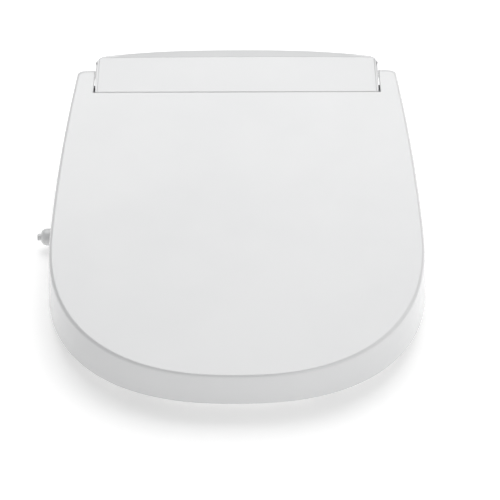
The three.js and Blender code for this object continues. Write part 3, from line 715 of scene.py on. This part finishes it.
def strip_z(y, ridge):
    return STRIP_FRONT_Z + (COVER_HIGH.z - STRIP_FRONT_Z) * (y - BLOCK_FRONT) / (ridge - BLOCK_FRONT)


def block_columns():
    middle = [BLOCK_FLAT * i / 22 for i in range(23)]
    ends = [BLOCK_FLAT + BLOCK_CORNER * math.sin(math.radians(90 * i / 12)) for i in range(1, 13)]
    right = middle + ends
    return [-x for x in right[:0:-1]] + right


TRIM_HALF = 155 * MM
TRIM_FRONT = BLOCK_FRONT + 1.2 * MM
TRIM_DEPTH = 1.4 * MM
SEAM = 0.15 * MM
STEP = 0.01 * MM


def block_section(x, recess):
    """Side view of the block at one x, from the front's foot over the top to the back's foot."""
    back = rear_edge(x)
    ridge = crest_y(x)

    def top(y):
        return strip_z(y, ridge)

    low = TRIM_DEPTH if recess else 0.0
    rear_of_trim = ridge - 1.0 * MM
    section = [(BLOCK_FRONT, PARTING_Z), (BLOCK_FRONT, top(BLOCK_FRONT) - 1.0 * MM)]
    section += [(BLOCK_FRONT + 0.25 * MM, top(BLOCK_FRONT) - 0.3 * MM)]
    section.append((TRIM_FRONT - SEAM - STEP, top(TRIM_FRONT - SEAM)))
    section.append((TRIM_FRONT - SEAM, top(TRIM_FRONT) - low))
    for i in range(1, 8):
        y = TRIM_FRONT + (rear_of_trim - TRIM_FRONT) * i / 8
        section.append((y, top(y) - low))
    rear_seam = rear_of_trim + SEAM
    section += [(rear_seam, top(rear_of_trim) - low), (rear_seam + STEP, top(rear_seam))]
    crest_z = COVER_HIGH.z - CREST_ROUND
    section.append((ridge, crest_z))
    rear_round = 5.5 * MM
    shelf = back - rear_round
    drop = 2.0 * MM
    for i in range(1, 5):
        t = i / 4
        y = ridge + (shelf - ridge) * t
        section.append((y, crest_z - drop * t ** 1.3))
    crown_z = crest_z - drop
    for k in range(1, 9):
        turn = math.radians(90 * k / 8)
        section.append((shelf + rear_round * math.sin(turn), crown_z - 7 * MM * (1 - math.cos(turn))))
    section += [(back, 80 * MM), (back, 60 * MM), (back, PARTING_Z)]
    return section


def make_block():
    columns = block_columns()
    sections = []
    for x in columns:
        sections.append([(x, y, z) for y, z in block_section(x, abs(x) < TRIM_HALF + SEAM)])
    count = len(sections[0])
    vertices = [p for section in sections for p in section]
    faces = []
    for c in range(len(sections) - 1):
        for i in range(count - 1):
            a = c * count + i
            faces.append((a, a + 1, a + count + 1, a + count))
    faces.append(tuple(range(count)))
    faces.append(tuple(range((len(sections) - 1) * count, len(sections) * count)))
    block = new_object("housing_block", vertices, faces)
    wall = block.modifiers.new("wall", "SOLIDIFY")
    wall.thickness = 1.8 * MM
    wall.offset = -1
    soften(block, 1.3 * MM, 3, 62)
    place(block, "housing", "white_shell", MATERIALS["white_shell"], "housing_cover")


def make_trim():
    """The plain panel along the top of the housing, set flush with a fine seam all round."""
    columns = [x for x in block_columns() if abs(x) <= TRIM_HALF]
    columns = [-TRIM_HALF] + columns + [TRIM_HALF]
    rows = 8
    upper, lower = [], []
    for x in columns:
        ridge = crest_y(x)
        for i in range(rows + 1):
            y = TRIM_FRONT + (ridge - 1.0 * MM - TRIM_FRONT) * i / rows
            z = strip_z(y, ridge)
            upper.append((x, y, z))
            lower.append((x, y, z - 1.2 * MM))
    count = rows + 1
    total = len(upper)
    faces = []
    for c in range(len(columns) - 1):
        for i in range(rows):
            a = c * count + i
            faces.append((a, a + count, a + count + 1, a + 1))
            faces.append((total + a, total + a + 1, total + a + count + 1, total + a + count))
    edge = list(range(rows)) + [c * count + rows for c in range(len(columns) - 1)]
    edge += [(len(columns) - 1) * count + i for i in range(rows, 0, -1)]
    edge += [c * count for c in range(len(columns) - 1, 0, -1)]
    for a, b in zip(edge, edge[1:] + edge[:1]):
        faces.append((a, b, total + b, total + a))
    trim = new_object("housing_trim_panel", upper + lower, faces)
    soften(trim, 0.12 * MM, 2, 40)
    place(trim, "housing", "white_shell", MATERIALS["white_shell"], "cover_trim")


def shoulder_outline(inset, rear_inset):
    half = COVER_HIGH.x - inset
    deck_front = COVER_LOW.y + inset
    right = arc(105 * MM - inset - 12 * MM, deck_front + 12 * MM, 12 * MM, -90, -52, 6)
    right += arc(half - 16 * MM, -68 * MM, 16 * MM, -52, 0, 8)
    right += arc(half - 10 * MM, 30 * MM - rear_inset, 10 * MM, 0, 90, 8)
    back = []
    for i in range(33):
        x = (146 * MM - rear_inset) * (1 - i / 16)
        back.append((x, rear_edge(x) - rear_inset))
    return right + back + [(-x, y) for x, y in right[::-1]]


def make_shoulder():
    shoulder = prism("housing_shoulder", shoulder_outline(0, 0.5 * MM), PARTING_Z, SHOULDER_Z)
    well = prism("well", shoulder_outline(SHELL, SHELL), 0, SHOULDER_Z - SHELL)
    mouth = box("mouth", -25 * MM, 25 * MM, -121 * MM, -116 * MM, 0, 41 * MM)
    carve(shoulder, "DIFFERENCE", well, mouth)
    soften(shoulder, 1.2 * MM, 3, 35)
    place(shoulder, "housing", "white_shell", MATERIALS["white_shell"])


# ---- Small turned pieces ------------------------------------------------------------------

def make_strainer_cap():
    """A round knob with a small slotted nub, on the neck that enters the pod."""
    low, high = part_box("strainer_cap")
    centre = (low + high) / 2
    radius = (high.y - low.y) / 2
    neck = 6.2 * MM
    nub = 3.8 * MM
    skin = high.x - 11 * MM
    profile = [(high.x, neck), (skin, neck)]
    profile += [(skin - 0.4 * MM, radius - 0.8 * MM), (skin - 1.2 * MM, radius)]
    dome, crown = low.x + 10.5 * MM, low.x + 4.2 * MM
    reach = nub + 0.8 * MM
    for k in range(11):
        turn = math.radians(90 * k / 10)
        along = dome - (dome - crown) * math.sin(turn)
        profile.append((along, reach + (radius - reach) * math.cos(turn)))
    profile += [(low.x + 4 * MM, nub), (low.x + 0.8 * MM, nub)]
    profile += [(low.x + 0.2 * MM, nub - 0.4 * MM), (low.x, nub - 1 * MM)]
    cap = turned("strainer_cap_dome", profile, (0, centre.y, centre.z), (1, 0, 0), 72)
    slot = box("slot", low.x - 1 * MM, low.x + 1.8 * MM, centre.y - 5 * MM, centre.y + 5 * MM,
               centre.z - 0.6 * MM, centre.z + 0.6 * MM)
    carve(cap, "DIFFERENCE", slot)
    soften(cap, 0.2 * MM, 2, 40)
    place(cap, "cap", "white_shell", MATERIALS["white_shell"], "strainer_cap")


def make_spigot_thread():
    """The water inlet's threaded nose: rings of thread round a plain tube."""
    low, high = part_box("inlet_body")
    axis_x = -181 * MM
    axis_z = 13 * MM
    nose = high.y
    start = -74 * MM
    inner_end = -110 * MM
    bore = 4 * MM
    tube = 5.8 * MM
    profile = [(inner_end, bore), (inner_end, tube), (start, tube), (start, 9.2 * MM)]
    pitch = 1.8 * MM
    ridge = 10.25 * MM
    y = start
    while y < nose - 2 * pitch:
        profile += [(y + 0.3 * pitch, ridge), (y + 0.5 * pitch, ridge), (y + pitch, 9.1 * MM)]
        y += pitch
    profile += [(nose - 0.8 * MM, 9.0 * MM), (nose, 8.4 * MM), (nose, bore)]
    sides = 56
    turns = [2 * math.pi * i / sides for i in range(sides)]
    circle = [(math.cos(t), math.sin(t)) for t in turns]
    rings = []
    for along, radius in profile:
        rings.append([(axis_x + radius * c, along, axis_z + radius * s) for c, s in circle])
    spigot = loft("water_inlet_spigot", rings, around=True)
    soften(spigot, 0.15 * MM, 2, 50)
    place(spigot, "housing", "clear_plastic", MATERIALS["clear_plastic"], "inlet_body")
    chamber = box("water_inlet_chamber", low.x, -168 * MM, low.y, -108 * MM, 6.5 * MM, 19.5 * MM)
    soften(chamber, 1.0 * MM, 2, 40)
    place(chamber, "housing", "clear_plastic", MATERIALS["clear_plastic"])


def make_buffers():
    for kind in ("seat_buffer_front_left", "seat_buffer_front_right",
                 "seat_buffer_rear_left", "seat_buffer_rear_right"):
        low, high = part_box(kind)
        centre = (low + high) / 2
        profile = [(0, 8.0 * MM), (0.3 * MM, 9.6 * MM), (1.6 * MM, 11.2 * MM), (3.5 * MM, 11.2 * MM)]
        profile += [(4.2 * MM, 10.2 * MM), (5.2 * MM, 10.2 * MM), (6.0 * MM, 11.0 * MM)]
        profile.append((high.z, 10.4 * MM))
        buffer = turned(f"{kind}_moulding", profile, (centre.x, centre.y, low.z), (0, 0, 1), 48)
        soften(buffer, 0.4 * MM, 2, 40)
        place(buffer, "seat", "pale_rubber", MATERIALS["pale_rubber"], kind)


def make_hinge_pins():
    for kind in ("hinge_pin_left", "hinge_pin_right"):
        low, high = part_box(kind)
        radius = (high.z - low.z) / 2
        length = high.x - low.x
        chamfer = 0.6 * MM
        profile = [(0, radius - chamfer), (chamfer, radius)]
        profile += [(length - chamfer, radius), (length, radius - chamfer)]
        pin = turned(f"{kind}_bar", profile, (low.x, 0, HINGE_Z), (1, 0, 0), 48)
        soften(pin, 0.2 * MM, 2, 40)
        place(pin, "housing", "bright_steel", MATERIALS["bright_steel"], kind)


NOZZLE_RADIUS = 5 * MM
NOZZLE_LENGTH = 126 * MM


def make_nozzle_tube(kind, tip, way):
    """The tube behind the spray head, with three shallow wiper grooves."""
    bore = 2.2 * MM
    start = 14 * MM
    depth = 0.4 * MM
    outer = NOZZLE_RADIUS
    inner = outer - depth
    body = [(start, bore), (start, outer - 0.3 * MM), (start + depth, outer)]
    for groove in (30 * MM, 34 * MM, 38 * MM):
        body += [(groove, outer), (groove + depth, inner)]
        body += [(groove + 1.0 * MM, inner), (groove + 1.4 * MM, outer)]
    body += [(NOZZLE_LENGTH, outer), (NOZZLE_LENGTH, bore)]
    tube = turned(f"{kind}_nozzle_tube", body, tip, -way, 48)
    soften(tube, 0.15 * MM, 2, 50)
    place(tube, f"{kind}_slide", "clear_plastic", MATERIALS["clear_plastic"], f"{kind}_nozzle")


def make_nozzle_rack(kind, tip, way, up):
    """The toothed strip along the tube's underside."""
    start = 34 * MM
    pitch = 5 * MM
    root = -4.2 * MM
    edge = [(start, root)]
    for tooth in range(18):
        foot = start + pitch * tooth
        edge += [(foot, -7.2 * MM), (foot + pitch / 2, -6.2 * MM)]
    edge.append((122 * MM, root))
    sides = []
    for across in (-1.6 * MM, 1.6 * MM):
        offset = Vector((across, 0, 0))
        sides.append([tip - way * along + up * height + offset for along, height in edge])
    rack = loft(f"{kind}_rack", sides)
    soften(rack, 0.1 * MM, 1, 40)
    place(rack, f"{kind}_slide", "clear_plastic", MATERIALS["clear_plastic"])


def make_spray_head(kind, tip, way, up, spray):
    """The rounded nose, with a grid of nine small holes on top, spray behind the tip."""
    head = [(0.0, 0.8 * MM), (0.1 * MM, 2.6 * MM), (0.7 * MM, 3.9 * MM), (1.8 * MM, 4.7 * MM)]
    head += [(3.2 * MM, NOZZLE_RADIUS), (12.9 * MM, NOZZLE_RADIUS)]
    head.append((13.6 * MM, NOZZLE_RADIUS - 0.4 * MM))
    nose = turned(f"{kind}_spray_head", head, tip, -way, 48)
    hole_radius = 0.42 * MM
    depth = 4 * MM
    for row in (-1, 0, 1):
        for column in (-1, 0, 1):
            along = spray + row * 1.6 * MM
            spot = tip - way * along + Vector((column * 1.5 * MM, 0, 0))
            profile = [(0, hole_radius), (depth, hole_radius)]
            carve(nose, "DIFFERENCE", turned("hole", profile, spot + up * 3.4 * MM, up, 16))
    soften(nose, 0.12 * MM, 2, 50)
    place(nose, f"{kind}_slide", "white_shell", MATERIALS["white_shell"], f"{kind}_nozzle_tip")


def make_nozzles():
    """Two slim tubes with rounded spray heads, lying along their slides."""
    for kind, spray in (("wash", 6 * MM), ("bidet", 8.5 * MM)):
        way = Vector(JOINTS[f"{kind}_nozzle_slide"]["axis"]).normalized()
        up = Vector((0, way.z, -way.y)).normalized()
        low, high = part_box(f"{kind}_nozzle_tip")
        tip = Vector(((low.x + high.x) / 2, -114 * MM, 22 * MM))
        make_nozzle_tube(kind, tip, way)
        make_nozzle_rack(kind, tip, way, up)
        make_spray_head(kind, tip, way, up, spray)


# ---- CAD nodes that keep their own shape --------------------------------------------------

def finish_cad_nodes():
    slots = {entry["node"]: entry["material_slot"] for entry in frame["record"]["subparts"]}
    for name, obj in frame["nodes"].items():
        obj.data.materials.clear()
        obj.data.materials.append(MATERIALS[slots[name]])
    for name in ("housing_base", "pod_cover", "base_plate", "release_button", "nozzle_guard",
                 "dryer_flap", "cable_gland", "dryer_duct", "nozzle_bay"):
        soften(frame["nodes"][name], 0.5 * MM, 2, 35)


bpy.context.scene.view_settings.view_transform = "Standard"
make_camera()
make_studio()
make_floor()
finish_cad_nodes()
make_block()
make_shoulder()
make_trim()
make_seat()
make_seat_arms()
make_lid()
make_strainer_cap()
make_spigot_thread()
make_buffers()
make_hinge_pins()
make_nozzles()
